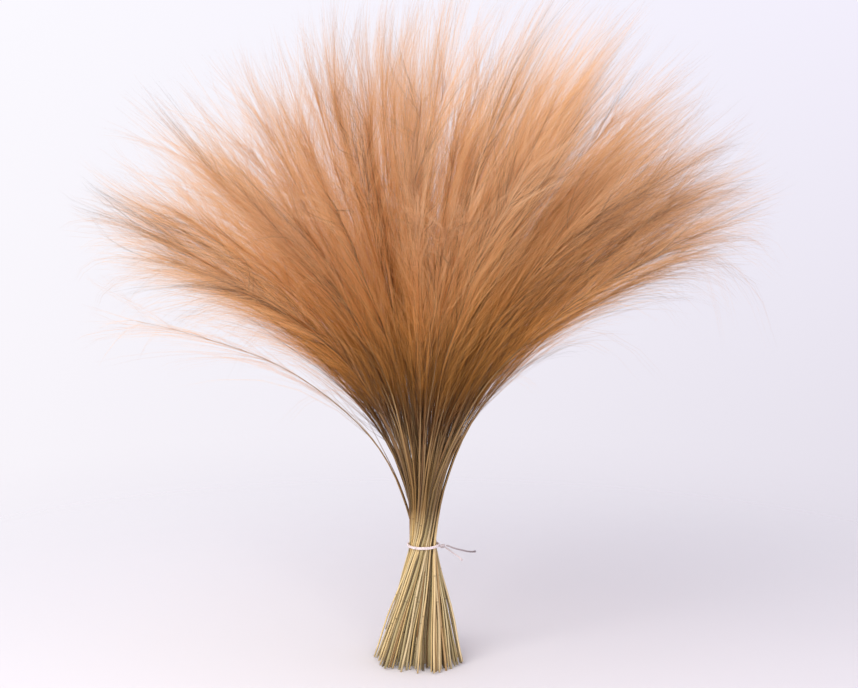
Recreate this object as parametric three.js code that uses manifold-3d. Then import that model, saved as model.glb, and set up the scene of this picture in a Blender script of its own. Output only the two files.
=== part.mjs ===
// A tied sheaf of dried feather grass, standing on its own flared cut ends.
//
// Every stalk is first laid out as a straight upright rod in the sheaf's waist, where the string
// squeezes the stalks side by side. One mapping, splay(), then carries the whole sheaf to its real
// shape: below the string the stalks spread and turn about the middle like a wrung cloth, above it
// they fan out and bow over into a round head. Because one mapping moves every stalk, neighbours
// never cross. Millimetres, +Z up, origin on the floor under the middle stalk's cut end.

import * as THREE from 'three';
import { mergeVertices } from 'three/addons/utils/BufferGeometryUtils.js';
import Module from 'manifold-3d';

const wasm = await Module();
wasm.setup();

// ---- driving dimensions -------------------------------------------------------------------

const clearance = 0.3;            // gap kept between pieces that touch
const seatGap = 0.6;              // the same over the stalks' tops, where a plume's foot is slightly domed

const groupCount = 28;            // groups of four stalks pressed together by the string
const stalkFootWidth = 2.2;       // across the flats of one stalk at its cut end
const stalkWaistWidth = 1.9;      // the same under the string
const stalkTopWidth = 1.5;        // the same where its plume begins
const patternTurn = 84;           // degrees the close-packed pattern is set round in the waist
const pressedDepth = 0.15;        // how far the four stalks of a group are squeezed into each other
const stalkSides = 6;

const tieHeight = 105;            // floor to the middle of the string
const waistHeight = 5;            // length over which the string holds the stalks parallel
const footSpread = 3.8;           // how many times wider the sheaf is at the floor than at the string
const footTurn = 38;              // degrees the sheaf turns between the floor and the string
const waistShift = 3;             // how far the waist stands to the right of the foot

const middleRise = 495;           // length of the middle stalks and plumes above the string
const edgeRise = 412;             // the same for an outermost group
const edgeBow = 80;               // degrees an outermost plume has bowed over at its tip
const bowDelay = 0.85;            // below 1, each stalk starts to bow sooner above the string
const headTurn = 56;              // degrees the sheaf goes on turning above the string
const headTurnReach = 0.08;       // share of the rise over which most of that turn is made
const headLean = 30;              // how far the top of the head leans to the right of the waist

const plumeStart = 0.27;          // share of the rise at which the stalks end in their plumes
const plumeBellyRadius = 17;      // a plume at its widest
const plumeBellyAt = 0.45;        // share of its own length at which it is widest
const plumeTipRadius = 2;
const plumeSides = 7;
const plumeRings = 7;
const shortestPlume = 0.93;       // the shortest plume's reach, as a share of the full rise

const stringWidth = 1.4;          // the twine's diameter
const stringTurns = 2;            // turns round the waist
const turnPitch = 1.25;           // height from one turn to the next
const knotAngle = -14;            // degrees round from +X, towards the front
const knotLength = 4.6;           // outwards from the waist
const knotWidth = 4.2;
const knotHeight = 3.8;
const loopSides = 30;
const loopArcPoints = 4;
const knotSides = 12;
const knotRings = 8;
const tailSides = 8;
const tailSteps = 12;

// ---- the stalks' places in the waist ------------------------------------------------------

const pressedPitch = stalkWaistWidth - pressedDepth;
const loosePitch = stalkWaistWidth + clearance;
const pitch = (pressedPitch + loosePitch) / 2;
const rowAngle = Math.PI / 3;

/** The point a steps along one row of the close-packed pattern and b steps along the next. */
function packed(a, b, step) {
  return new THREE.Vector2(a + b * Math.cos(rowAngle), b * Math.sin(rowAngle)).multiplyScalar(step);
}

/** The four stalks of a group, measured from the group's middle. */
const fourPlaces = [[-0.5, -0.5], [0.5, -0.5], [-0.5, 0.5], [0.5, 0.5]]
  .map(([a, b]) => packed(a, b, pressedPitch));

/** The groups' middles, nearest the sheaf's middle first, one stalk being exactly in the middle. */
function groupPlaces() {
  const reach = Math.ceil(Math.sqrt(groupCount));
  const middleStalk = fourPlaces[0];
  const places = [];
  for (let a = -reach; a <= reach; a += 1) {
    for (let b = -reach; b <= reach; b += 1) {
      places.push(packed(2 * a, 2 * b, pitch).sub(middleStalk));
    }
  }
  places.sort((p, q) => p.length() - q.length());
  return places.slice(0, groupCount);
}

const groups = groupPlaces();
const outermostGroup = Math.max(...groups.map((group) => group.length()));
const outermostStalk = Math.max(...groups.flatMap(
  (group) => fourPlaces.map((place) => place.clone().add(group).length()),
));

// ---- the sheaf's shape --------------------------------------------------------------------

const waistBottom = tieHeight - waistHeight / 2;
const waistTop = tieHeight + waistHeight / 2;
const degree = Math.PI / 180;
const bowSteps = 24;
const mergeReach = 1e-4;

/** How far the whole sheaf stands to the right at a height. */
function shiftAt(height) {
  if (height <= waistTop) return waistShift * Math.min(1, height / waistBottom);
  const rise = (height - waistTop) / middleRise;
  return waistShift + headLean * Math.pow(rise, 4);
}

/** Below the string: widths grow evenly towards the floor while the sheaf turns. */
function spreadBelow(height) {
  const down = Math.max(0, (waistBottom - height) / waistBottom);
  const across = 1 - down + down * footSpread * Math.cos(footTurn * degree);
  const round = -down * footSpread * Math.sin(footTurn * degree);
  return { times: Math.hypot(across, round), turn: Math.atan2(round, across) };
}

/** Above the string: the radius and height of a stalk that starts at `radius`, `share` of the
 *  way along it. Its slope from the vertical grows as a sine, most for the outermost. */
function bowed(radius, share) {
  const out = radius / outermostGroup;
  const rise = middleRise + (edgeRise - middleRise) * out * out;
  const at = { radius, height: waistTop };
  const step = share / bowSteps;
  for (let i = 0; i < bowSteps; i += 1) {
    const along = (i + 0.5) * step;
    const slope = edgeBow * degree * out * Math.sin(Math.PI / 2 * along ** bowDelay);
    at.radius += Math.sin(slope) * step * rise;
    at.height += Math.cos(slope) * step * rise;
  }
  return at;
}

/** How many times wider a stalk's surroundings are, a share of the way up it, than in the waist.
 *  At the very middle it is taken a little way out, where it is the same. */
function widening(radius, share) {
  const start = Math.max(radius, outermostGroup / 100);
  return bowed(start, share).radius / start;
}

/** Carries a point of the upright rods to its place in the real sheaf. `level` is a height up to
 *  the top of the waist, and waistTop plus a share from 0 to 1 above it. */
function splay(x, y, level) {
  const radius = Math.hypot(x, y);
  const angle = Math.atan2(y, x) + patternTurn * degree;
  if (level <= waistTop) {
    const { times, turn } = spreadBelow(level);
    return new THREE.Vector3(
      radius * times * Math.cos(angle + turn) + shiftAt(level),
      radius * times * Math.sin(angle + turn),
      level,
    );
  }
  const share = level - waistTop;
  const at = bowed(radius, share);
  const turn = headTurn * degree * (1 - Math.exp(-share / headTurnReach));
  return new THREE.Vector3(
    at.radius * Math.cos(angle + turn) + shiftAt(at.height),
    at.radius * Math.sin(angle + turn),
    at.height,
  );
}

/** A rod round `centre` with one ring at each level, splayed. widthAt gives the real radius. */
function splayedRod(centre, sides, levels, radiusAt) {
  const geometry = new THREE.CylinderGeometry(1, 1, levels.length - 1, sides, levels.length - 1);
  geometry.rotateX(Math.PI / 2);
  geometry.translate(0, 0, (levels.length - 1) / 2);
  const position = geometry.attributes.position;
  for (let i = 0; i < position.count; i += 1) {
    const ring = Math.round(position.getZ(i));
    const level = levels[ring];
    const times = level <= waistTop
      ? spreadBelow(level).times
      : widening(centre.length(), level - waistTop);
    const radius = radiusAt(ring) / times;
    const point = splay(
      centre.x + radius * position.getX(i),
      centre.y + radius * position.getY(i),
      level,
    );
    position.setXYZ(i, point.x, point.y, point.z);
  }
  geometry.deleteAttribute('normal');
  geometry.deleteAttribute('uv');
  return mergeVertices(geometry, mergeReach);
}

// ---- pieces -------------------------------------------------------------------------------

const straw = new THREE.MeshStandardMaterial({ color: 0xc2a968, roughness: 0.7, metalness: 0 });
const silk = new THREE.MeshStandardMaterial({ color: 0xc98f5e, roughness: 0.85, metalness: 0 });
const cotton = new THREE.MeshStandardMaterial({ color: 0xe9e2dc, roughness: 0.9, metalness: 0 });

const sheaf = new THREE.Group();

function add(name, geometry, material) {
  const mesh = new THREE.Mesh(geometry, material);
  mesh.name = name;
  sheaf.add(mesh);
}

function toSolid(geometry) {
  return new wasm.Manifold(new wasm.Mesh({
    numProp: 3,
    vertProperties: new Float32Array(geometry.attributes.position.array),
    triVerts: new Uint32Array(geometry.index.array),
  }));
}

function fromSolid(solid) {
  const mesh = solid.getMesh();
  const geometry = new THREE.BufferGeometry();
  geometry.setAttribute('position', new THREE.BufferAttribute(mesh.vertProperties, 3));
  geometry.setIndex(new THREE.BufferAttribute(mesh.triVerts, 1));
  return geometry;
}

const flatsToCorners = 1 / (2 * Math.cos(Math.PI / stalkSides));

/** Four stalks, apart at the floor and in the head, pressed into one another at the string. */
function stalkGroup(group) {
  const shares = [plumeStart / 4, plumeStart / 2, plumeStart];
  const levels = [0, waistBottom, waistTop, ...shares.map((share) => waistTop + share)];
  const topWidths = shares.map(
    (share) => stalkWaistWidth + (stalkTopWidth - stalkWaistWidth) * share / plumeStart,
  );
  const widths = [stalkFootWidth, stalkWaistWidth, stalkWaistWidth, ...topWidths];
  const radiusAt = (ring) => widths[ring] * flatsToCorners;
  return fourPlaces
    .map((place) => toSolid(splayedRod(place.clone().add(group), stalkSides, levels, radiusAt)))
    .reduce((joined, stalk) => joined.add(stalk));
}

/** The plumes of one group of four, gathered into one soft spindle that bows over with them.
 *  Its foot fills the group's share of the waist's pattern, so that it covers its four stalks. */
function plume(group, reach) {
  const start = plumeStart + seatGap / middleRise;
  const levels = [];
  for (let i = 0; i <= plumeRings; i += 1) {
    levels.push(waistTop + start + (reach - start) * i / plumeRings);
  }
  const footRadius = (pitch - clearance / 2) * widening(group.length(), start);
  const radiusAt = (ring) => {
    const along = ring / plumeRings;
    if (along < plumeBellyAt) {
      const swell = (1 - Math.cos(Math.PI * along / plumeBellyAt)) / 2;
      return footRadius + (plumeBellyRadius - footRadius) * swell;
    }
    const taper = Math.cos(Math.PI / 2 * (along - plumeBellyAt) / (1 - plumeBellyAt));
    return plumeTipRadius + (plumeBellyRadius - plumeTipRadius) * taper;
  };
  return splayedRod(group, plumeSides, levels, radiusAt);
}

const goldenShare = (Math.sqrt(5) - 1) / 2;

groups.forEach((group, i) => {
  const number = String(i + 1).padStart(2, '0');
  const reach = 1 - (1 - shortestPlume) * ((i * goldenShare) % 1);
  add(`stalks_${number}`, fromSolid(stalkGroup(group)), straw);
  add(`plume_${number}`, plume(group, reach), silk);
});

// ---- the string ---------------------------------------------------------------------------

const stringRadius = stringWidth / 2;
const waistRadius = outermostStalk + stalkWaistWidth * flatsToCorners;
const loopRadius = waistRadius + clearance + stringRadius;

/** The turns of twine lying on each other round the waist: circles in a row, as one outline. */
function stringLoop() {
  const half = Math.asin(turnPitch / stringWidth);
  const firstTurn = tieHeight - (stringTurns - 1) * turnPitch / 2;
  const outer = [];
  const inner = [];
  for (let turn = 0; turn < stringTurns; turn += 1) {
    const low = turn === 0 ? -Math.PI / 2 : -half;
    const high = turn === stringTurns - 1 ? Math.PI / 2 : half;
    const height = firstTurn + turn * turnPitch;
    for (let i = 0; i < loopArcPoints; i += 1) {
      const angle = low + (high - low) * i / (loopArcPoints - 1);
      const out = stringRadius * Math.cos(angle);
      const up = height + stringRadius * Math.sin(angle);
      outer.push(new THREE.Vector2(loopRadius + out, up));
      inner.unshift(new THREE.Vector2(loopRadius - out, up));
    }
  }
  const outline = [...outer, ...inner, outer[0].clone()];
  const apart = outline.filter((p, i) => i === 0 || p.distanceTo(outline[i - 1]) > mergeReach);
  const geometry = new THREE.LatheGeometry(apart, loopSides);
  geometry.rotateX(Math.PI / 2);
  geometry.translate(waistShift, 0, 0);
  return geometry;
}

const knotDirection = new THREE.Vector3(
  Math.cos(knotAngle * degree),
  Math.sin(knotAngle * degree),
  0,
);
const loopOutside = loopRadius + stringRadius;
const knotMiddle = new THREE.Vector3(waistShift, 0, tieHeight)
  .addScaledVector(knotDirection, loopOutside + clearance + knotLength / 2);

function stringKnot() {
  const geometry = new THREE.SphereGeometry(1 / 2, knotSides, knotRings);
  geometry.rotateX(Math.PI / 2);
  geometry.scale(knotLength, knotWidth, knotHeight);
  geometry.rotateZ(knotAngle * degree);
  geometry.translate(knotMiddle.x, knotMiddle.y, knotMiddle.z);
  return geometry;
}

// The tails' routes, from the point where each leaves the knot: stiff little ends of cut twine.
const longTailRoute = [
  [0, 0, 0], [2.1, -0.7, -0.3], [4.1, -1.7, -0.8], [6, -2.9, -1.3], [7.9, -4.2, -1.6],
  [9.8, -5.5, -1.8], [11.7, -6.8, -1.9], [13.6, -8.1, -2], [15.5, -9.4, -2.1],
  [17.4, -10.7, -2.2], [19.3, -12, -2.2], [21.1, -13.3, -2.1], [22.8, -14.5, -1.8],
  [24.4, -15.7, -1.3], [25.9, -16.8, -0.6],
];
const shortTailRoute = [
  [0, 0, 0], [1.1, -1.8, -0.2], [2.2, -3.7, -0.5], [3.3, -5.6, -0.9], [4.4, -7.5, -1.2],
  [5.5, -9.4, -1.5], [6.6, -11.3, -1.8], [7.7, -13.2, -2.1], [8.8, -15.1, -2.4],
  [9.9, -17, -2.7], [11, -18.9, -3], [12.1, -20.8, -3.3], [13.1, -22.6, -3.7],
  [14, -24.4, -4.2], [14.8, -26.1, -4.8],
];

/** A tail of twine along its route, starting clear of the knot at a height above its middle. */
function stringTail(route, sideways, lift) {
  const exit = knotMiddle.clone()
    .addScaledVector(knotDirection, knotLength / 2 + clearance)
    .add(new THREE.Vector3(knotDirection.y, -knotDirection.x, 0).multiplyScalar(sideways));
  exit.z += lift;
  const path = new THREE.CatmullRomCurve3(
    route.map(([x, y, z]) => new THREE.Vector3(exit.x + x, exit.y + y, exit.z + z)),
  );
  const corners = [];
  for (let i = 0; i < tailSides; i += 1) {
    const angle = 2 * Math.PI * i / tailSides;
    corners.push(new THREE.Vector2(Math.cos(angle), Math.sin(angle)).multiplyScalar(stringRadius));
  }
  return new THREE.ExtrudeGeometry(new THREE.Shape(corners), {
    steps: tailSteps,
    bevelEnabled: false,
    extrudePath: path,
  });
}

const tailSpacing = stringWidth + 2 * clearance;

add('string_loop', stringLoop(), cotton);
add('string_knot', stringKnot(), cotton);
add('string_tail_long', stringTail(longTailRoute, -tailSpacing / 2, tailSpacing / 4), cotton);
add('string_tail_short', stringTail(shortTailRoute, tailSpacing / 2, -tailSpacing / 4), cotton);

export default sheaf;
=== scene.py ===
"""A tied sheaf of dried feather grass, standing on its flared cut ends.

Every stalk and every hair is laid out as a straight line in the sheaf's waist, where the string holds
the stalks side by side, and splay() carries it to its real place: turned and spread below the string,
fanned out and bowed over above it. Lengths are metres, +Z is up, and the front is towards -Y.
"""

import math

import bpy
import numpy as np
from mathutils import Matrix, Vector


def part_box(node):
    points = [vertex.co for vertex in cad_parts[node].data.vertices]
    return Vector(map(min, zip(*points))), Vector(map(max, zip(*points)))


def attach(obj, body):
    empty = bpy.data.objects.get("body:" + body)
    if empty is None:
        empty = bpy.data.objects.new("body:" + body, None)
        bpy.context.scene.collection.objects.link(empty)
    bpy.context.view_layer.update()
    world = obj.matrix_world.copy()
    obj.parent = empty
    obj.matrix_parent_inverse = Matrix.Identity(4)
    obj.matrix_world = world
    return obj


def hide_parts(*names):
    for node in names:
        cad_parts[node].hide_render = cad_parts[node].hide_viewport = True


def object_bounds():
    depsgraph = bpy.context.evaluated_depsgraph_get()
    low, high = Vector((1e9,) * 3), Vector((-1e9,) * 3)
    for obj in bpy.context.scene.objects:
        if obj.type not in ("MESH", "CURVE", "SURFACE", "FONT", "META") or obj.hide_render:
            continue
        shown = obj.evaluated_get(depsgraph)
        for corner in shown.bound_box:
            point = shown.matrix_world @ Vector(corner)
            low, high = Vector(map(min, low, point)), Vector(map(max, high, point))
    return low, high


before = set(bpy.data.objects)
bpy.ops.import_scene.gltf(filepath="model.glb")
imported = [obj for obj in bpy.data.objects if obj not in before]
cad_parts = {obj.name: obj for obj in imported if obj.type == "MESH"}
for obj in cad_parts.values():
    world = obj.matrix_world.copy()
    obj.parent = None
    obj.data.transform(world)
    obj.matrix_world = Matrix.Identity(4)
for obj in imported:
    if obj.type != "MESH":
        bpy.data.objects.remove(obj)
cad_low, cad_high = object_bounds()

# ---- sizes read from the frame ------------------------------------------------------------------

loop_low, loop_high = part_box("string_loop")
knot_low, knot_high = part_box("string_knot")
tie_height = (loop_low.z + loop_high.z) / 2
tie_centre = Vector(((loop_low.x + loop_high.x) / 2, (loop_low.y + loop_high.y) / 2, tie_height))
twine = 0.0014
twine_turns = 2
twine_pitch = (loop_high.z - loop_low.z - twine) / (twine_turns - 1)
loop_radius = (loop_high.x - loop_low.x - twine) / 2

# ---- the sheaf's shape --------------------------------------------------------------------------

group_count = 28
pressed_pitch = 0.00175
loose_pitch = 0.0022
pitch = (pressed_pitch + loose_pitch) / 2
pattern_turn = math.radians(84)

waist_height = 0.005
waist_bottom = tie_height - waist_height / 2
waist_top = tie_height + waist_height / 2
waist_shift = tie_centre.x
foot_spread = 3.8
foot_turn = math.radians(38)

middle_rise = 0.495
edge_rise = 0.412
edge_bow = math.radians(80)
bow_delay = 0.85
bow_steps = 24
head_turn = math.radians(56)
head_turn_reach = 0.08
head_lean = 0.048
stalk_node_share = 0.27


def packed(a, b, step):
    """The point a steps along one row of the close-packed pattern and b steps along the next."""
    return np.array([a + b * 0.5, b * math.sqrt(3) / 2]) * step


four_places = [packed(a, b, pressed_pitch) for b in (-0.5, 0.5) for a in (-0.5, 0.5)]


def group_places():
    """The groups' middles, nearest the sheaf's middle first, one stalk being exactly in the middle."""
    reach = math.ceil(math.sqrt(group_count))
    steps = range(-reach, reach + 1)
    places = [packed(2 * a, 2 * b, pitch) - four_places[0] for a in steps for b in steps]
    places.sort(key=lambda place: round(math.hypot(*place), 9))
    return places[:group_count]


groups = group_places()
edge_radius = max(math.hypot(*place) for place in groups)


def bowed(radius, share):
    """Radius and height of a stalk that starts at `radius`, `share` of the way up it: its slope from
    the vertical is edge_bow * radius / edge_radius * sin(pi / 2 * share ** bow_delay), and the sines
    and cosines of that slope are added up in small steps."""
    radius, share = np.broadcast_arrays(radius, share)
    out = radius / edge_radius
    rise = middle_rise + (edge_rise - middle_rise) * out**2
    along = share[..., None] * (np.arange(bow_steps) + 0.5) / bow_steps
    slope = edge_bow * out[..., None] * np.sin(np.pi / 2 * along**bow_delay)
    step = share * rise / bow_steps
    return radius + np.sin(slope).sum(-1) * step, waist_top + np.cos(slope).sum(-1) * step


def widening(radius, share):
    """How many times further apart neighbours are, `share` of the way up, than in the waist."""
    start = np.maximum(radius, edge_radius / 50)
    return bowed(start, share)[0] / start


def spread_below(height):
    """Below the string the waist's plane is stretched evenly and turned: how much, and how far."""
    down = np.clip((waist_bottom - height) / waist_bottom, 0, 1)
    across = 1 - down + down * foot_spread * math.cos(foot_turn)
    aside = -down * foot_spread * math.sin(foot_turn)
    return np.hypot(across, aside), np.arctan2(aside, across)


def lean(height):
    """How far the whole sheaf stands to the right at a height: evenly up to the waist, then by the
    fourth power of the rise."""
    low = waist_shift * np.clip(height / waist_bottom, 0, 1)
    rise = np.clip((height - waist_top) / middle_rise, 0, None)
    return low + head_lean * rise**4


def splay(x, y, level):
    """Places of points of the straightened sheaf. Up to waist_top `level` is a height, and above it
    waist_top plus a share of the rise. Below, spread_below() turns and stretches; above, bowed()
    gives the radius and height, while the whole turns by head_turn * (1 - exp(-share / reach))."""
    radius, angle = np.hypot(x, y), np.arctan2(y, x) + pattern_turn
    times, turn = spread_below(level)
    share = np.clip(level - waist_top, 0, None)
    far, high = bowed(radius, share)
    above = level > waist_top
    far = np.where(above, far, radius * times)
    high = np.where(above, high, level)
    turn = np.where(above, head_turn * (1 - np.exp(-share / head_turn_reach)), turn)
    return np.stack(
        [far * np.cos(angle + turn) + lean(high), far * np.sin(angle + turn), high], axis=-1
    )


def place_of(node):
    """The place in the waist of a CAD group: the one whose straight stalks reach nearest to the node's
    box on every side."""
    levels = np.linspace(0, waist_top + stalk_node_share, 12)[:, None]
    low, high = (np.array(corner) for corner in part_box(node))
    misfit = []
    for place in groups:
        corners = np.array([place + corner for corner in four_places])
        points = splay(corners[:, 0], corners[:, 1], levels).reshape(-1, 3)
        misfit.append(np.abs(points.min(0) - low).sum() + np.abs(points.max(0) - high).sum())
    return groups[int(np.argmin(misfit))]


# ---- making a mesh ------------------------------------------------------------------------------


def unit(vectors):
    return vectors / np.maximum(np.linalg.norm(vectors, axis=-1, keepdims=True), 1e-12)


def carried_frames(path):
    """For each point of each path, the direction along it and two directions square to that: a fixed
    sideways vector of the path made square to the tangent, and their cross product."""
    along = unit(np.gradient(path, axis=1))
    chord = path[:, -1] - path[:, 0]
    aside = unit(np.cross(chord, np.array([0.31, 0.52, 0.79])))[:, None]
    side = unit(aside - (aside * along).sum(-1, keepdims=True) * along)
    return along, side, np.cross(along, side)


def tubes(path, radius, sides, pointed):
    """Round tubes along paths of shape (tubes, points, 3): the point on ring i at angle a is
    path + radius * (cos a * side + sin a * other). Returns the corners' places, the faces as lists of
    corner numbers by face size, and for each face corner its station and its step round the ring.
    A pointed tube draws its last ring together in one point; any other end has a flat cap."""
    along, side, other = carried_frames(path)
    turn = 2 * np.pi * np.arange(sides) / sides
    ring = np.cos(turn)[:, None] * side[:, :, None] + np.sin(turn)[:, None] * other[:, :, None]
    corners = path[:, :, None] + radius[:, :, None, None] * ring
    count, stations = path.shape[:2]
    rings = stations - 1 if pointed else stations
    corners = corners[:, :rings].reshape(count, rings * sides, 3)
    if pointed:
        corners = np.concatenate([corners, path[:, -1:]], axis=1)
    each = corners.shape[1]
    first = (np.arange(count) * each)[:, None, None]

    i, j = np.meshgrid(np.arange(rings - 1), np.arange(sides), indexing="ij")
    i, j = i.ravel(), j.ravel()
    k = j + 1
    quads = np.stack([i * sides + j, i * sides + k % sides, (i + 1) * sides + k % sides,
                      (i + 1) * sides + j], axis=-1)
    quad_station = np.stack([i, i, i + 1, i + 1], axis=-1)
    quad_step = np.stack([j, k, k, j], axis=-1)
    faces = [(quads + first, quad_station, quad_step)]

    back = np.arange(sides)[::-1][None]
    faces.append((back + first, np.zeros_like(back), back))
    ahead = np.arange(sides)
    last = (rings - 1) * sides
    if pointed:
        tip = np.stack([last + ahead, last + (ahead + 1) % sides, np.full(sides, each - 1)], axis=-1)
        tip_station = np.stack([np.full(sides, rings - 1)] * 2 + [np.full(sides, rings)], axis=-1)
        tip_step = np.stack([ahead, ahead + 1, ahead + 0.5], axis=-1)
        faces.append((tip + first, tip_station, tip_step))
    else:
        cap = (last + ahead)[None]
        faces.append((cap + first, np.full_like(cap, rings - 1), ahead[None]))
    return corners.reshape(-1, 3), faces


def mesh_piece(name, corners, faces, uvs, material, smooth=True):
    """A mesh object from corner places, a list of face arrays (faces, corners of a face) and a list of
    UV arrays of the same shape plus 2."""
    sizes = np.concatenate([np.full(len(f), f.shape[1]) for f in faces])
    mesh = bpy.data.meshes.new(name)
    mesh.vertices.add(len(corners))
    mesh.vertices.foreach_set("co", np.ascontiguousarray(corners, np.float32).ravel())
    mesh.loops.add(int(sizes.sum()))
    mesh.loops.foreach_set("vertex_index", np.concatenate([f.ravel() for f in faces]).astype(np.int32))
    mesh.polygons.add(len(sizes))
    starts = np.concatenate([[0], np.cumsum(sizes)[:-1]]).astype(np.int32)
    mesh.polygons.foreach_set("loop_start", starts)
    mesh.polygons.foreach_set("use_smooth", np.full(len(sizes), smooth))
    layer = mesh.uv_layers.new(name="OFBake")
    layer.data.foreach_set("uv", np.concatenate([u.reshape(-1) for u in uvs]).astype(np.float32))
    mesh.update(calc_edges=True)
    mesh.validate()
    mesh.materials.append(material)
    piece = bpy.data.objects.new(name, mesh)
    bpy.context.scene.collection.objects.link(piece)
    return piece


def tube_piece(name, path, radius, sides, pointed, uv_of, material):
    """A piece made of tubes, whose UV at (tube, station, step round) is uv_of of those."""
    corners, faces = tubes(path, radius, sides, pointed)
    count = path.shape[0]
    flat, uvs = [], []
    for numbers, station, step in faces:
        flat.append(numbers.reshape(-1, numbers.shape[-1]))
        tube = np.arange(count)[:, None, None]
        uvs.append(uv_of(*np.broadcast_arrays(tube, station[None], step[None])))
    return mesh_piece(name, corners, flat, uvs, material)


# ---- materials ----------------------------------------------------------------------------------


def linear(colour):
    """A colour written as six hex digits, as the linear numbers that shaders take."""
    parts = np.array([int(colour[i : i + 2], 16) for i in (0, 2, 4)]) / 255
    parts = np.where(parts <= 0.04045, parts / 12.92, ((parts + 0.055) / 1.055) ** 2.4)
    return (*parts.tolist(), 1.0)


class Finish:
    """A material's node tree, with short ways to add and join nodes."""

    def __init__(self, name, roughness, specular):
        self.material = bpy.data.materials.new(name)
        self.material.use_nodes = True
        self.tree = self.material.node_tree
        self.shader = self.tree.nodes["Principled BSDF"]
        self.shader.inputs["Roughness"].default_value = roughness
        self.shader.inputs["Specular IOR Level"].default_value = specular

    def node(self, kind, inputs=(), **settings):
        made = self.tree.nodes.new(kind)
        for key, value in settings.items():
            setattr(made, key, value)
        for socket, value in dict(inputs).items():
            if isinstance(value, bpy.types.NodeSocket):
                self.tree.links.new(value, made.inputs[socket])
            else:
                made.inputs[socket].default_value = value
        return made

    def link(self, output, socket):
        self.tree.links.new(output, self.shader.inputs[socket])

    def ramp(self, factor, stops, smooth=False):
        made = self.node("ShaderNodeValToRGB", {"Fac": factor})
        ramp = made.color_ramp
        ramp.interpolation = "EASE" if smooth else "LINEAR"
        while len(ramp.elements) < len(stops):
            ramp.elements.new(0.5)
        for element, (at, colour) in zip(ramp.elements, stops, strict=True):
            element.position = at
            element.color = linear(colour) if isinstance(colour, str) else (colour,) * 3 + (1.0,)
        return made.outputs["Color"]

    def mix(self, factor, first, second, blend="MIX"):
        made = self.node("ShaderNodeMix", data_type="RGBA", blend_type=blend)
        for socket, value in ((0, factor), (6, first), (7, second)):
            if isinstance(value, bpy.types.NodeSocket):
                self.tree.links.new(value, made.inputs[socket])
            else:
                made.inputs[socket].default_value = value
        return made.outputs[2]

    def across(self):
        """The piece's own map, as its two numbers."""
        where = self.node("ShaderNodeUVMap", uv_map="OFBake").outputs["UV"]
        parts = self.node("ShaderNodeSeparateXYZ", {"Vector": where})
        return where, parts.outputs["X"], parts.outputs["Y"]


def plume_hair():
    """Silky hair: its colour goes with the share of the way up the sheaf (map X), from brown by the
    stalks to orange and then pale peach at the tips, and with the hair's own tone (map Y), from dark
    brown by way of tan and gold to grey. That tone carries painted shade: it is lowered for the hair of
    stalks on the right and out at the edge."""
    f = Finish("plume_hair", 0.5, 0.15)
    _, share, tone = f.across()
    brown = f.ramp(share, [
        (0.12, "3a2716"), (0.22, "52341b"), (0.31, "865628"), (0.43, "b27538"), (0.6, "bc824a"),
        (0.88, "a88468"),
    ])
    tan = f.ramp(share, [
        (0.12, "4e3520"), (0.22, "70482a"), (0.31, "be823c"), (0.43, "eca85c"), (0.6, "f2b97e"),
        (0.88, "cfa586"),
    ])
    gold = f.ramp(share, [
        (0.12, "64472c"), (0.22, "8e643a"), (0.31, "de9f56"), (0.43, "f9c07a"), (0.6, "facc98"),
        (0.88, "e2bfa2"),
    ])
    grey = f.ramp(share, [(0.12, "3d2e20"), (0.4, "574030"), (0.7, "665041"), (0.9, "77624f")])
    low = f.mix(f.ramp(tone, [(0.1, 0.0), (0.4, 1.0)]), brown, tan)
    middle = f.mix(f.ramp(tone, [(0.45, 0.0), (0.7, 1.0)]), low, gold)
    f.link(f.mix(f.ramp(tone, [(0.84, 0.0), (0.9, 1.0)]), middle, grey), "Base Color")
    return f.material


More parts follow.
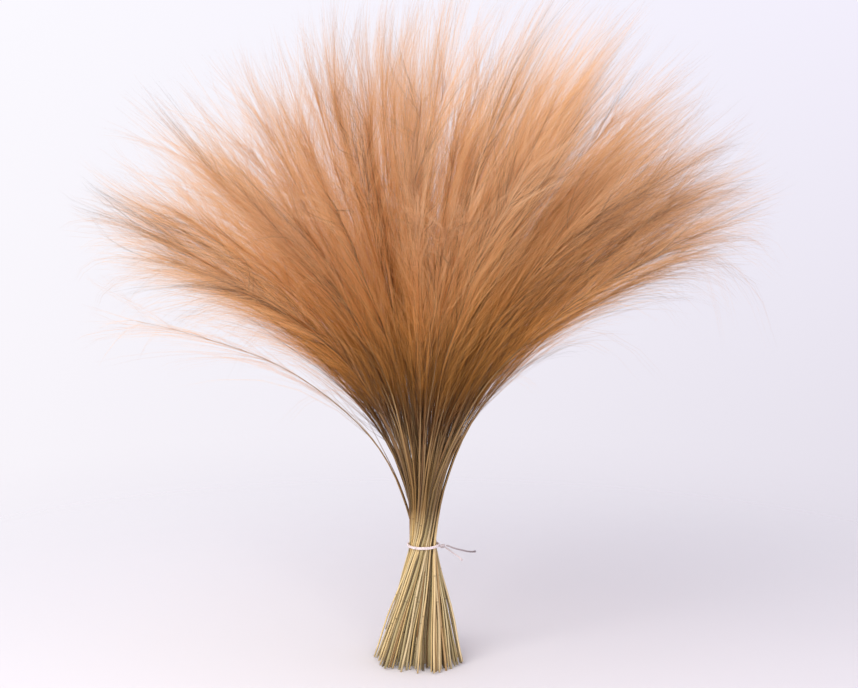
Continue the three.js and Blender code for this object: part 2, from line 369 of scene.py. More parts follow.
def straw():
    """Dry straw. A stalk's own tone picks olive, grey-green, beige, yellow or brown; above the string
    it darkens and browns (map Y is the share of the stalk's length). Lengthwise fibres and blotches
    lie over that. Joints and cut ends are dark, and the hollows in the cut ends are painted shade,
    darkest at their floor."""
    f = Finish("straw", 0.45, 0.4)
    where, _, along = f.across()
    own = f.node("ShaderNodeAttribute", attribute_name="stalk")
    parts = f.node("ShaderNodeSeparateColor", {"Color": own.outputs["Color"]})
    tone, dark_and_painted_shade = parts.outputs["Red"], parts.outputs["Green"]
    colour = f.ramp(tone, [
        (0.0, "4a3b24"), (0.13, "5d4e30"), (0.18, "aa9b6c"), (0.32, "c4b48c"), (0.5, "d8c297"),
        (0.68, "e2c383"), (0.84, "e6cf9b"), (0.92, "b08a58"), (1.0, "6a4a2a"),
    ])
    browned = f.mix(0.75, colour, linear("8a6038"))
    darkened = f.mix(1.0, colour, linear("907a5e"), "MULTIPLY")
    colour = f.mix(f.ramp(along, [(0.125, 0.0), (0.2, 0.95)]), colour, darkened)
    colour = f.mix(f.ramp(along, [(0.22, 0.0), (0.4, 1.0)]), colour, browned)
    lengthwise = f.node("ShaderNodeMapping", {"Vector": where, "Scale": (160.0, 5.0, 1.0)})
    fibres = f.node(
        "ShaderNodeTexNoise", {"Vector": lengthwise.outputs["Vector"], "Scale": 1.0, "Detail": 4.0}
    ).outputs["Fac"]
    blotched = f.node("ShaderNodeMapping", {"Vector": where, "Scale": (12.0, 26.0, 1.0)})
    blotches = f.node(
        "ShaderNodeTexNoise", {"Vector": blotched.outputs["Vector"], "Scale": 1.0, "Detail": 3.0}
    ).outputs["Fac"]
    colour = f.mix(f.ramp(fibres, [(0.35, 0.55), (0.62, 0.0)]), colour, linear("6c5533"))
    colour = f.mix(f.ramp(blotches, [(0.55, 0.0), (0.75, 0.5)]), colour, linear("86693c"))
    # Dark joints and cut ends, and painted shade in the hollows of the cut ends.
    colour = f.mix(dark_and_painted_shade, colour, linear("3d2c18"))
    f.link(colour, "Base Color")
    bump = f.node("ShaderNodeBump", {"Strength": 0.5, "Distance": 0.0002, "Height": fibres})
    f.link(bump.outputs["Normal"], "Normal")
    return f.material


def cotton_twine():
    """Off-white cotton with thin lengthwise fibres along each strand, greyer where it is worn."""
    f = Finish("cotton_twine", 0.85, 0.2)
    where, _, _ = f.across()
    wound = f.node("ShaderNodeMapping", {"Vector": where, "Scale": (60.0, 14.0, 1.0)})
    fibres = f.node(
        "ShaderNodeTexNoise", {"Vector": wound.outputs["Vector"], "Scale": 1.0, "Detail": 5.0}
    ).outputs["Fac"]
    colour = f.ramp(fibres, [(0.3, "b7a8ab"), (0.5, "e2d6d8"), (0.7, "f2ebee")])
    wear = f.node("ShaderNodeAttribute", attribute_name="wear").outputs["Fac"]
    colour = f.mix(wear, colour, linear("6d6268"))
    f.link(colour, "Base Color")
    bump = f.node("ShaderNodeBump", {"Strength": 0.6, "Distance": 0.0001, "Height": fibres})
    f.link(bump.outputs["Normal"], "Normal")
    return f.material


hair_finish = plume_hair()
straw_finish = straw()
twine_finish = cotton_twine()

# ---- stalks -------------------------------------------------------------------------------------

stalk_sides = 8
stalk_top_share = 0.82
stalk_stations_below = 9
stalk_stations_above = 22
stalk_width_levels = [0, waist_bottom, waist_top, waist_top + 0.27, waist_top + 0.5, waist_top + 0.82]
stalk_widths = [0.0018, 0.0017, 0.00165, 0.0013, 0.0007, 0.0002]
joint_half = 0.0009
joint_swell = 1.22
sheath_swell = 1.12
hollow_depth = 0.004
hollow_share = 0.55
hollow_map = 0.005
cut_unevenness = 0.003
middle_out = 0.05
stalk_length = waist_top + stalk_top_share

# A tube's lane in the map, and how its length lies in it.
lane_edge = 0.04
lane_width = 0.92
length_edge = 0.01
length_width = 0.98

strips_in_group = 9
strip_sides = 4
strip_widths = (0.0007, 0.0014)
strip_flatness = 0.45

# One outermost stalk parts from the sheaf early: the direction it takes, and how far out it bows.
strays = ((math.radians(190), 1.03),)
stray_fineness = 0.6
stray_fullness = 0.3
stray_reach = 0.85
outermost = 0.85

# How stalks differ. Reaches and first hairs are shares of the rise. A lift is a share by which a stalk
# bows as one nearer the middle does. The two shades are painted shade: how much the hair's tone is
# lowered on stalks on the right and on stalks out at the edge, for the shade that falls there.
drift_least = 0.002
drift_spread = 0.012
longest_reach = 1.07
reach_spread = 0.08
edge_reach = 0.04
left_reach = 0.06
first_hair = (0.13, 0.24)
edge_first_hair = 0.05
edge_lift = 0.05
front_lift = 0.5
front_lift_least = 0.4
right_lift = 0.15
lift_from = 0.1
right_painted_shade = 0.12
edge_painted_shade = 0.1
tone_of_stalk = 0.24
sway_above = 0.0008
sway_below = 0.0016


def head_direction(place):
    """The compass direction that a stalk's place in the waist ends up in, in the head."""
    return math.atan2(place[1], place[0]) + pattern_turn + head_turn


def ease(value, start, end):
    """0 up to start, 1 from end, and even in between."""
    return np.clip((value - start) / (end - start), 0, 1)


class Stalk:
    """One stalk's place in the waist and the way it strays from it: its own drift grows with the
    share of the rise, in a fixed direction. Those that lean to the front or the right bow less, and
    those on the left are longer. The hair of those on the right and out at the edge gets painted
    shade: its tone is lowered."""

    def __init__(self, rng, place):
        self.place = place
        self.radius = math.hypot(*place)
        self.out = self.radius / edge_radius
        self.angle = math.atan2(place[1], place[0])
        towards = head_direction(place)
        front = max(0.0, -math.sin(towards)) ** 2 * min(1, self.out)
        right = max(0.0, math.cos(towards)) * min(1, self.out)
        left = max(0.0, -math.cos(towards)) * min(1, self.out)
        self.drift = abs(rng.normal(0, drift_spread)) + drift_least
        self.drift_way = rng.uniform(0, 2 * np.pi)
        self.tone = rng.random()
        # Painted shade: the hair's tone is lowered for stalks on the right and out at the edge.
        self.hair_tone_and_painted_shade = tone_of_stalk * rng.random() - right_painted_shade * right - edge_painted_shade * self.out**2
        self.reach = longest_reach - reach_spread * rng.random()
        self.reach += edge_reach * ease(self.out, 0.8, 1) + left_reach * left
        self.first_hair = rng.uniform(*first_hair) + edge_first_hair * ease(self.out, 0.7, 1)
        self.sway = rng.uniform(0, 2 * np.pi, 3)
        self.outward = 1.0 - edge_lift * ease(self.out, 0.7, 0.9)
        self.outward -= front_lift * front * rng.uniform(front_lift_least, 1) + right_lift * right
        self.fineness = 1.0
        self.fullness = 1.0

    def carried(self, level, x, y):
        """The real place of a point that stands off the stalk by real distances x and y."""
        share = np.clip(level - waist_top, 0, None)
        outward = 1 + (self.outward - 1) * np.clip(share / lift_from, 0, 1)
        scale = np.where(share > 0, widening(self.radius, share), spread_below(level)[0])
        drift = self.drift * share**1.5
        sway = sway_above * np.clip(share * 8, 0, 1) * np.sin(22 * share + self.sway[0])
        low = np.clip((waist_bottom - level) / waist_bottom, 0, 1)
        sway = sway + sway_below * np.sin(np.pi * low) * np.sin(5 * low + self.sway[1])
        x = x + drift * math.cos(self.drift_way) + sway * math.cos(self.sway[2])
        y = y + drift * math.sin(self.drift_way) + sway * math.sin(self.sway[2])
        return splay(outward * self.place[0] + x / scale, outward * self.place[1] + y / scale, level)


def pick_strays(stalks_of):
    """Marks the outermost stalk nearest to each stray direction."""
    outer = [stalk for stalks in stalks_of.values() for stalk in stalks if stalk.out > outermost]
    for way, outward in strays:
        off = [abs(math.remainder(head_direction(stalk.place) - way, math.tau)) for stalk in outer]
        nearest = outer[int(np.argmin(off))]
        nearest.outward = outward
        nearest.fineness = stray_fineness
        nearest.fullness = stray_fullness
        nearest.reach *= stray_reach


def stalk_tubes(rng, stalks):
    """Paths, half widths, levels and dark shares of the stalks of a group. Stations are even but for
    three at each of two joints and two at the step where the sheath above a joint ends."""
    even = np.concatenate([
        np.linspace(0, waist_bottom, stalk_stations_below),
        [tie_height],
        waist_top + stalk_top_share * np.linspace(0, 1, stalk_stations_above) ** 1.2,
    ])
    levels, swell, dark = [], [], []
    for _ in stalks:
        joints = np.array([rng.uniform(0.012, 0.085), waist_top + rng.uniform(0.03, 0.2)])
        ends = joints + np.array([rng.uniform(0.01, 0.018), rng.uniform(0.05, 0.12)])
        near = joint_half * np.array([1, 2.2])
        added = np.concatenate([joints - near, joints, joints + near])
        own = np.sort(np.concatenate([even, added, ends - near / 2, ends + near / 2]))
        at_joint = (np.abs(own[:, None] - joints) < 1e-6).any(1)
        in_sheath = ((own[:, None] > joints) & (own[:, None] < ends)).any(1)
        levels.append(own)
        swell.append(np.where(at_joint, joint_swell, np.where(in_sheath, sheath_swell, 1)))
        dark.append(np.where(at_joint, 0.6, 0.0))
    levels, swell, dark = np.array(levels), np.array(swell), np.array(dark)
    path = np.stack([stalk.carried(levels[i], 0, 0) for i, stalk in enumerate(stalks)])
    radius = np.interp(levels, stalk_width_levels, stalk_widths) / 2 * swell
    radius *= rng.uniform(0.82, 1.1, len(stalks))[:, None]
    return path, radius, levels, dark


def raise_feet(rng, stalks, path):
    """Lifts the lowest point of each path along the path by its own small distance; the middle stalk
    stands on the floor itself."""
    gap = np.array([
        0.0 if stalk.out < middle_out else rng.random() ** 2 * cut_unevenness for stalk in stalks])
    path[:, 0] += unit(path[:, 1] - path[:, 0]) * gap[:, None]


def stalk_piece(name, rng, stalks):
    """Four stalks, as round tubes whose cut ends are level and hollow, and the narrow dry leaves that
    cling to them, as thin flattened tubes."""
    path, radius, levels, dark = stalk_tubes(rng, stalks)
    count = len(stalks)
    raise_feet(rng, stalks, path)
    corners, faces = tubes(path, radius, stalk_sides, False)
    stations = path.shape[1]
    corners = corners.reshape(count, stations, stalk_sides, 3)
    along = unit(path[:, 1] - path[:, 0])[:, None]
    rim = corners[:, 0]
    rim -= along * ((rim[..., 2:] - path[:, :1, 2:]) / along[..., 2:])
    middle = path[:, None, 0]
    inner = middle + (rim - middle) * hollow_share
    deep = inner + along * hollow_depth
    corners = corners.reshape(-1, 3)

    base = len(corners)
    corners = np.concatenate([corners, np.stack([inner, deep], axis=1).reshape(-1, 3)])
    j = np.arange(stalk_sides)
    k = (j + 1) % stalk_sides
    outer_first = (np.arange(count) * stations * stalk_sides)[:, None]
    inner_first = (base + np.arange(count) * 2 * stalk_sides)[:, None]
    deep_first = inner_first + stalk_sides
    cut = np.stack([outer_first + k, outer_first + j, inner_first + j, inner_first + k], axis=-1)
    wall = np.stack([inner_first + k, inner_first + j, deep_first + j, deep_first + k], axis=-1)
    floor_of_it = (deep_first + j[::-1])[:, None]

    flat, uvs, tints = [], [], []
    lanes = count + strips_in_group
    each = np.arange(count)[:, None, None]
    tone = np.array([stalk.tone for stalk in stalks])

    def tinted(tone_of, dark_and_painted_shade):
        tints.append(np.stack([tone_of, dark_and_painted_shade, 0 * dark_and_painted_shade, 1 + 0 * dark_and_painted_shade], axis=-1))

    for numbers, station, step in (faces[0], faces[2]):
        flat.append(numbers.reshape(-1, numbers.shape[-1]))
        tube, station, step = np.broadcast_arrays(each, station[None], step[None])
        share = levels[tube, station] / stalk_length
        lane = (tube + lane_edge + lane_width * step / stalk_sides) / lanes
        uvs.append(np.stack([lane, length_edge + length_width * share], axis=-1))
        tinted(tone[tube], dark[tube, station])
    # The cut ring is dark; the hollow's wall and floor are painted shade, darkest at the floor.
    for numbers, dark_and_painted_shade in ((cut, 0.25), (wall, 0.85), (floor_of_it, 1.0)):
        flat.append(numbers.reshape(-1, numbers.shape[-1]))
        tube = np.broadcast_to(each, numbers.shape)
        step = np.broadcast_to(np.arange(numbers.shape[1])[None, :, None], numbers.shape)
        spot = np.arange(numbers.shape[2])
        lane = (tube + lane_edge + lane_width * (step + (spot % 3 > 0)) / stalk_sides) / lanes
        depth = np.broadcast_to(hollow_map * (spot > 1), numbers.shape)
        uvs.append(np.stack([lane, depth], axis=-1))
        tinted(tone[tube], np.full(numbers.shape, dark_and_painted_shade))

    leaves = leaf_faces(rng, stalks, len(corners))
    corners = np.concatenate([corners, leaves[0]])
    return tinted_piece(name, corners, flat + leaves[1], uvs + leaves[2], tints + leaves[3])


def strip_tubes(rng, stalks):
    """Paths, half widths and shares of length of the leaves: each clings to a stalk from somewhere
    below or just above the string, stands off it to one side and leaves it in a slow curve."""
    count = strips_in_group
    host = rng.integers(0, len(stalks), count)
    t = np.linspace(0, 1, 18)
    low = np.where(rng.random(count) < 0.7, 0.0, rng.uniform(0.0, 0.09, count))
    high = waist_top + rng.uniform(0.14, 0.45, count)
    levels = low[:, None] + (high - low)[:, None] * t
    way = np.array([stalks[h].angle for h in host]) + np.pi + rng.uniform(-1.3, 1.3, count)
    off = 0.0011 + 0.0016 * np.clip((waist_bottom - levels) / waist_bottom, 0, 1)
    away = rng.uniform(0.004, 0.02, count)[:, None] * np.clip(t - 0.6, 0, 1) ** 2 / 0.16
    aside = off + away
    path = np.stack([
        stalks[h].carried(levels[i], aside[i] * math.cos(way[i]), aside[i] * math.sin(way[i]))
        for i, h in enumerate(host)
    ])
    widest = rng.uniform(*strip_widths, count)[:, None] / 2
    taper = np.clip((1 - t) / 0.5, 0.12, 1) * (1 - 0.25 * (np.abs(levels - tie_height) < 0.02))
    return path, widest * taper, levels


def leaf_faces(rng, stalks, first_corner):
    """The leaves' corners, faces, maps and tints, numbered from first_corner."""
    path, radius, levels = strip_tubes(rng, stalks)
    path[:, 0] += unit(path[:, 1] - path[:, 0]) * (rng.random(len(path)) ** 2 * cut_unevenness)[:, None]
    path[..., 2] = np.maximum(path[..., 2], radius)
    corners, faces = tubes(path, radius, strip_sides, False)
    shape = corners.reshape(*path.shape[:2], strip_sides, 3)
    middle = path[:, :, None]
    flat_way = shape[:, :, 1:2] - middle
    flat_way = flat_way / np.linalg.norm(flat_way, axis=-1, keepdims=True)
    across = ((shape - middle) * flat_way).sum(-1, keepdims=True) * flat_way
    corners = (shape - across * (1 - strip_flatness)).reshape(-1, 3)
    count = len(path)
    tone = rng.random(count)
    lanes = len(stalks) + count
    flat, uvs, tints = [], [], []
    each = np.arange(count)[:, None, None]
    for numbers, station, step in faces:
        flat.append((numbers + first_corner).reshape(-1, numbers.shape[-1]))
        tube, station, step = np.broadcast_arrays(each, station[None], step[None])
        share = levels[tube, station] / stalk_length
        lane = (len(stalks) + tube + lane_edge + lane_width * step / strip_sides) / lanes
        uvs.append(np.stack([lane, length_edge + length_width * share], axis=-1))
        dark_and_painted_shade = np.zeros(tube.shape)
        tints.append(np.stack([tone[tube], dark_and_painted_shade, dark_and_painted_shade, 1 + dark_and_painted_shade], axis=-1))
    return corners, flat, uvs, tints


def tinted_piece(name, corners, flat, uvs, tints):
    """A straw piece with each face corner's tone, and its darkness at joints and cut ends or the
    painted shade in the hollows, as its colour attribute.
    """
    piece = mesh_piece(name, corners, flat, uvs, straw_finish)
    tint = piece.data.color_attributes.new("stalk", "FLOAT_COLOR", "CORNER")
    tint.data.foreach_set("color", np.concatenate([t.reshape(-1) for t in tints]).astype(np.float32))
    return piece


# ---- plumes -------------------------------------------------------------------------------------

hair_sides = 3
hair_stations = 6
tufts_in_plume = 136
hairs_in_tuft = 4
hair_root_width = 0.00013
hair_tip_width = 0.00004
thick_hairs = 0.1
thick_by = 1.8

# Where tufts leave the stalk and end, as shares of the rise.
last_root = 0.82
tuft_length = (0.24, 0.46)
long_tufts = 0.15
long_by = 1.2
tip_spread = 0.2
least_length = 0.1

# How far tufts go sideways, in metres.
locks_in_plume = 6
lock_width = 0.04
loose_tufts = 0.07
loose_width = (0.015, 0.06)
tuft_width = 0.0084
tuft_parting = 0.0018
tuft_least_parting = 0.0003
tuft_wave = 0.0016
sinking = 0.007
outer_hold = 0.6
sinks_at = 0.28

# The room that the hairs keep to, past the CAD model's box: a share of its side and a distance.
room_share = 0.03
room_over = 0.008
room_soft = 0.04

middle_tone = 0.4
lock_tone_spread = 0.05
tuft_tone_spread = 0.15
hair_tone_spread = 0.06
grey_locks = 0.03
edge_grey_locks = 0.14
grey_in_lock = 0.7
grey_tone = (0.88, 0.97)
grey_from = 0.86
plain_tone = (0.02, 0.8)
tone_width = 0.012
map_top_share = 1.2


def drawn_in(path):
    """Keeps the longest tips in the sheaf's room. On each axis, whatever passes the start of the
    outermost room_soft by a distance d passes it by room_soft * (1 - exp(-d / room_soft)) instead."""
    low, high = np.array(cad_low), np.array(cad_high)
    spare = room_share * (high - low) + room_over
    top, bottom = high + spare - room_soft, low - spare + room_soft
    bottom[2] = -1.0
    over, under = np.clip(path - top, 0, None), np.clip(bottom - path, 0, None)
    path = path - over + room_soft * (1 - np.exp(-over / room_soft))
    return path + under - room_soft * (1 - np.exp(-under / room_soft))


def plume_hairs(rng, stalk):
    """The hairs of one plume. They grow in tufts: a tuft leaves the stalk at one share of the rise,
    follows the flow to a further share and carries its hairs side by side. Sideways a tuft goes to
    its lock's place, (lock's width) * t ** 1.15, and bulges away from that by its own
    t ** 0.7 * (1 - 0.6 t); a loose tuft leaves by t ** 1.4 instead. Its hairs part by
    (a small distance) * t ** 1.3, and all sink by the square of t where they lean out far."""
    tufts = round(tufts_in_plume * stalk.fullness)
    t = np.linspace(0, 1, hair_stations)[None]
    root = stalk.first_hair + (last_root - stalk.first_hair) * rng.random(tufts) ** 0.85
    length = rng.uniform(*tuft_length, tufts) * np.where(rng.random(tufts) < long_tufts, long_by, 1.0)
    tip = np.minimum(root + length, stalk.reach * (1.0 - tip_spread * rng.random(tufts) ** 2))
    tip = np.maximum(tip, root + least_length)

    lock = rng.integers(0, locks_in_plume, tufts)
    lock_way = rng.uniform(0, 2 * np.pi, locks_in_plume)[lock]
    lock_reach = (rng.random(locks_in_plume) ** 0.7 * lock_width)[lock] * rng.uniform(0.6, 1.2, tufts)
    lock_tone = rng.normal(0, lock_tone_spread, locks_in_plume)[lock]
    grey_chance = grey_locks + edge_grey_locks * min(1, stalk.out) ** 2
    grey = (rng.random(locks_in_plume) < grey_chance)[lock]
    loose = rng.random(tufts) < loose_tufts
    own_way = rng.uniform(0, 2 * np.pi, tufts)
    own_reach = np.where(loose, rng.uniform(*loose_width, tufts), rng.gamma(2.0, tuft_width, tufts))
    sink = rng.gamma(1.6, sinking, tufts) * (1 + loose) * (0.5 + 1.1 * stalk.out**2)
    # The stalk's hair tone carries its painted shade for the right and the edge.
    tone = stalk.hair_tone_and_painted_shade + middle_tone + lock_tone + rng.normal(0, tuft_tone_spread, tufts)
    tone = np.where(grey & (rng.random(tufts) < grey_in_lock), 1.0, np.clip(tone, *plain_tone))
    wave = rng.uniform(0, 2 * np.pi, tufts)

    def spread(values):
        return np.repeat(values, hairs_in_tuft)[:, None]

    count = tufts * hairs_in_tuft
    start = spread(root) + rng.uniform(0, 0.02, (count, 1))
    end = start + (spread(tip) - start) * rng.uniform(0.82, 1.04, (count, 1))
    share = start + (end - start) * t
    out = spread(lock_reach) * t**1.15
    bulge = spread(own_reach) * np.where(spread(loose), t**1.4, t**0.7 * (1 - 0.6 * t))
    bulge = bulge + tuft_wave * t * np.sin(5 * t + spread(wave))
    apart = np.abs(rng.normal(0, tuft_parting, (count, 1))) * t**1.3 + tuft_least_parting
    apart_way = rng.uniform(0, 2 * np.pi, (count, 1))
    ways = (out, spread(lock_way)), (bulge, spread(own_way)), (apart, apart_way)
    x = sum(far * np.cos(way) for far, way in ways)
    y = sum(far * np.sin(way) for far, way in ways)
    outwards = x * math.cos(stalk.angle) + y * math.sin(stalk.angle)
    held = np.clip(outwards, 0, None) * outer_hold * stalk.out**3
    x = x - held * math.cos(stalk.angle)
    y = y - held * math.sin(stalk.angle)
    path = stalk.carried(waist_top + share, x, y)
    sideways = np.clip(np.hypot(path[..., 0], path[..., 1]) / sinks_at, 0, 1.2)
    path[..., 2] -= spread(sink) * sideways * t**2
    path = drawn_in(path)

    tone = spread(tone)[:, 0] + rng.normal(0, hair_tone_spread, count)
    tone = np.where(tone > grey_from, rng.uniform(*grey_tone, count), np.clip(tone, *plain_tone))
    width = (hair_root_width + (hair_tip_width - hair_root_width) * t) * stalk.fineness
    width = width * np.where(
        rng.random(count) < thick_hairs, thick_by, rng.uniform(0.8, 1.2, count))[:, None]
    return path, width / 2, share, tone


def plume_piece(name, rng, stalks):
    """The hairs of a group's four plumes, as thin pointed three-sided tubes."""
    made = [plume_hairs(rng, stalk) for stalk in stalks]
    path, radius, share, tone = (np.concatenate(parts) for parts in zip(*made, strict=True))

    def uv_of(tube, station, step):
        return np.stack([
            share[tube, station] / map_top_share,
            tone[tube] + tone_width * (step / hair_sides - 0.5),
        ], axis=-1)

    return tube_piece(name, path, radius, hair_sides, True, uv_of, hair_finish)


stalks_of = {}
rng_of = {number: np.random.default_rng(1000 + number) for number in range(1, group_count + 1)}
for number, rng in rng_of.items():
    place = place_of(f"stalks_{number:02d}")
    stalks_of[number] = [Stalk(rng, place + corner) for corner in four_places]
pick_strays(stalks_of)
for number, stalks in stalks_of.items():
    straws = stalk_piece(f"straws_{number:02d}", rng_of[number], stalks)
    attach(straws, "root")
    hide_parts(f"stalks_{number:02d}")
    hairs = plume_piece(f"hairs_{number:02d}", rng_of[number], stalks)
    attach(hairs, "root")
    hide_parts(f"plume_{number:02d}")

# ---- the string ---------------------------------------------------------------------------------

strands = 3
strand_sides = 6
strand_lay = 0.0042
strand_share = 0.29
strand_radius = twine * 0.27


def strand_paths(line):
    """The strands of a twine whose middle follows a line: each circles the line at a share of the
    twine's width, once in every strand_lay of length."""
    line = np.asarray(line, float)
    length = np.concatenate([[0], np.cumsum(np.linalg.norm(np.diff(line, axis=0), axis=1))])
    even = np.linspace(0, length[-1], max(12, round(length[-1] / 0.00045)))
    middle = np.stack([np.interp(even, length, line[:, k]) for k in range(3)], axis=-1)
    along, side, other = carried_frames(middle[None])
    turn = 2 * np.pi * (even[None] / strand_lay + np.arange(strands)[:, None] / strands)
    ring = np.cos(turn)[..., None] * side + np.sin(turn)[..., None] * other
    return middle[None] + twine * strand_share * ring


def twine_piece(name, line, wear, fray=0.0):
    """A twisted twine along a line: its strands are round tubes, thinner at their very ends. The last
    strands part by up to `fray`, growing with the square over the last tenth. `wear` gives how grey it
    is at its start and its end."""
    path = strand_paths(line)
    middle = path.mean(0, keepdims=True)
    last = np.clip((np.linspace(0, 1, path.shape[1]) - 0.85) / 0.15, 0, 1)[None, :, None] ** 2
    path = path + unit(path - middle) * last * fray
    stations = path.shape[1]
    t = np.linspace(0, 1, stations)
    radius = strand_radius * np.clip(np.minimum(t, 1 - t) * stations / 2, 0.4, 1)
    radius = np.broadcast_to(radius, (strands, stations))

    def uv_of(tube, station, step):
        return np.stack([
            station / (stations - 1), (tube + 0.05 + 0.9 * step / strand_sides) / strands], axis=-1)

    piece = tube_piece(name, path, radius, strand_sides, False, uv_of, twine_finish)
    worn = np.tile(np.repeat(np.interp(t, (0, 1), wear), strand_sides), strands)
    mark = piece.data.attributes.new("wear", "FLOAT", "POINT")
    mark.data.foreach_set("value", worn.astype(np.float32))
    return piece


def loop_line():
    """Turns of a low helix round the waist that starts and ends at the knot."""
    knot_way = math.atan2(
        (knot_low.y + knot_high.y) / 2 - tie_centre.y, (knot_low.x + knot_high.x) / 2 - tie_centre.x
    )
    t = np.linspace(0, 1, 240)
    angle = knot_way + 2 * np.pi * twine_turns * t
    climb = (t - 0.5) * twine_pitch * (twine_turns - 0.4)
    return np.stack([
        tie_centre.x + loop_radius * np.cos(angle),
        tie_centre.y + loop_radius * np.sin(angle),
        tie_height + climb,
    ], axis=-1)


def finish_twine(piece, node):
    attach(piece, "root")
    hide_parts(node)
    return piece


finish_twine(twine_piece("twine_loop", loop_line(), (0.0, 0.05)), "string_loop")


def knot_line():
    """An overhand knot drawn tight: a trefoil, x = sin a + 2 sin 2a, y = cos a - 2 cos 2a,
    z = -sin 3a, fitted into the knot's box with room for the twine."""
    a = np.linspace(0.1, 2 * np.pi - 0.1, 90)
    shape = np.stack([
        -np.sin(3 * a) * 1.4, np.sin(a) + 2 * np.sin(2 * a), np.cos(a) - 2 * np.cos(2 * a)], axis=-1)
    low, high = np.array(knot_low), np.array(knot_high)
    size = (high - low) / 2 - twine * 0.45
    return (low + high) / 2 + shape / np.abs(shape).max(0) * size


finish_twine(twine_piece("twine_knot", knot_line(), (0.35, 0.5)), "string_knot")

long_tail_route = [
    (0, 0, 0), (2.1, -0.7, -0.3), (4.1, -1.7, -0.8), (6, -2.9, -1.3), (7.9, -4.2, -1.6),
    (9.8, -5.5, -1.8), (11.7, -6.8, -1.9), (13.6, -8.1, -2), (15.5, -9.4, -2.1),
    (17.4, -10.7, -2.2), (19.3, -12, -2.2), (21.1, -13.3, -2.1), (22.8, -14.5, -1.8),
    (24.4, -15.7, -1.3), (25.9, -16.8, -0.6),
]
short_tail_route = [
    (0, 0, 0), (1.1, -1.8, -0.2), (2.2, -3.7, -0.5), (3.3, -5.6, -0.9), (4.4, -7.5, -1.2),
    (5.5, -9.4, -1.5), (6.6, -11.3, -1.8), (7.7, -13.2, -2.1), (8.8, -15.1, -2.4),
    (9.9, -17, -2.7), (11, -18.9, -3), (12.1, -20.8, -3.3), (13.1, -22.6, -3.7),
    (14, -24.4, -4.2), (14.8, -26.1, -4.8),
]
millimetre = 0.001
tail_fray = 0.0005


def tail_piece(name, node, route, wear):
    """A tail of twine along its route, from where the knot lets it go."""
    low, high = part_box(node)
    line = np.array(route, float) * millimetre
    start = np.array([low.x, high.y, high.z]) + np.array([0.35, -0.6, -0.5]) * twine
    line += start
    piece = finish_twine(twine_piece(name, line, wear, tail_fray), node)
    return piece


tail_piece("twine_tail_long", "string_tail_long", long_tail_route, (0.6, 0.95))
tail_piece("twine_tail_short", "string_tail_short", short_tail_route, (0.5, 0.2))

# ---- floor, light and camera --------------------------------------------------------------------

floor_left = "d9d8dc"
# Painted shade: the floor's colour on its right side, a little darker.
floor_right_painted_shade = "d6d4d9"
sky_left = ("fbf9ff", "f7f3f9")
sky_right = ("f2eefc", "dfdae4")


def floor():
    """A round pale floor with painted shade that makes it a little darker towards the right, which
    fades out with distance into the sky's own colour."""
    turn = np.linspace(0, 2 * np.pi, 96, endpoint=False)
    reach = 3.0
    corners = np.stack([reach * np.cos(turn), reach * np.sin(turn), np.full(96, -0.0002)], axis=-1)
    mesh = bpy.data.meshes.new("floor")
    mesh.from_pydata(corners.tolist(), [], [list(range(96))])
    f = Finish("floor", 0.9, 0.1)
    where = f.node("ShaderNodeTexCoord").outputs["Object"]
    right = f.node("ShaderNodeSeparateXYZ", {"Vector": where}).outputs["X"]
    right = f.node("ShaderNodeMapRange", {"Value": right, "From Min": -0.25, "From Max": 0.35})
    # Painted shade, darker towards the right.
    colour = f.mix(right.outputs["Result"], linear(floor_left), linear(floor_right_painted_shade))
    f.link(colour, "Base Color")
    far = f.node("ShaderNodeVectorMath", {0: where}, operation="LENGTH").outputs["Value"]
    fade = f.node("ShaderNodeMapRange", {"Value": far, "From Min": 0.2, "From Max": 1.0},
                  interpolation_type="SMOOTHSTEP").outputs["Result"]
    clear = f.node("ShaderNodeBsdfTransparent").outputs["BSDF"]
    both = f.node("ShaderNodeMixShader", {0: fade, 1: f.shader.outputs["BSDF"], 2: clear})
    f.tree.links.new(both.outputs["Shader"], f.tree.nodes["Material Output"].inputs["Surface"])
    mesh.materials.append(f.material)
    piece = bpy.data.objects.new("floor", mesh)
    bpy.context.scene.collection.objects.link(piece)


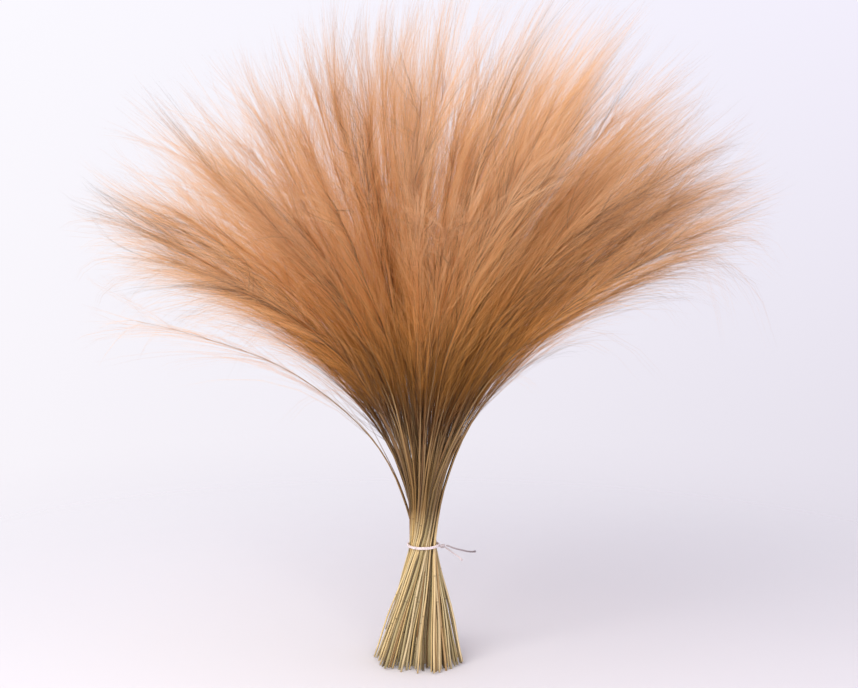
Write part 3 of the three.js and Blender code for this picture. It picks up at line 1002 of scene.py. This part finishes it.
def sky():
    """Even pale light from all round: the left is a little brighter than the right, and the right
    darkens downwards."""
    world = bpy.data.worlds.new("sky")
    world.use_nodes = True
    tree = world.node_tree
    where = tree.nodes.new("ShaderNodeTexCoord").outputs["Generated"]
    parts = tree.nodes.new("ShaderNodeSeparateXYZ")
    tree.links.new(where, parts.inputs["Vector"])

    def step(value, low, high):
        made = tree.nodes.new("ShaderNodeMapRange")
        made.inputs["From Min"].default_value = low
        made.inputs["From Max"].default_value = high
        tree.links.new(value, made.inputs["Value"])
        return made.outputs["Result"]

    def mix(factor, first, second):
        made = tree.nodes.new("ShaderNodeMix")
        made.data_type = "RGBA"
        tree.links.new(factor, made.inputs[0])
        for socket, value in ((6, first), (7, second)):
            if isinstance(value, str):
                made.inputs[socket].default_value = linear(value)
            else:
                tree.links.new(value, made.inputs[socket])
        return made.outputs[2]

    down = step(parts.outputs["Z"], 0.0, -0.3)
    right = step(parts.outputs["X"], -0.2, 0.24)
    colour = mix(right, mix(down, *sky_left), mix(down, *sky_right))
    back = tree.nodes["Background"]
    tree.links.new(colour, back.inputs["Color"])
    back.inputs["Strength"].default_value = 1.0
    bpy.context.scene.world = world


def lamp(name, place, target, size, power, colour):
    data = bpy.data.lights.new(name, "AREA")
    data.size = size
    data.energy = power
    data.color = linear(colour)[:3]
    piece = bpy.data.objects.new(name, data)
    piece.location = place
    piece.rotation_euler = (Vector(target) - Vector(place)).to_track_quat("-Z", "Y").to_euler()
    bpy.context.scene.collection.objects.link(piece)


def camera():
    """A long lens a little above the middle of the sheaf, looking slightly down at it."""
    distance = 1.76
    pitch = math.radians(9.5)
    aim = Vector((0.0078, 0.0, 0.285))
    data = bpy.data.cameras.new("camera")
    data.sensor_width = 36.0
    data.lens = 84.9
    piece = bpy.data.objects.new("camera", data)
    piece.location = aim + Vector((0, -math.cos(pitch), math.sin(pitch))) * distance
    piece.rotation_euler = (aim - piece.location).to_track_quat("-Z", "Y").to_euler()
    bpy.context.scene.collection.objects.link(piece)
    bpy.context.scene.camera = piece


floor()
sky()
lamp("key", (-1.0, -1.3, 1.6), (0, 0, 0.35), 1.4, 30.0, "fffaf4")
lamp("fill", (0.3, -2.1, 0.8), (0, 0, 0.35), 1.4, 26.0, "fff9f2")
camera()
bpy.context.scene.view_settings.view_transform = "Standard"
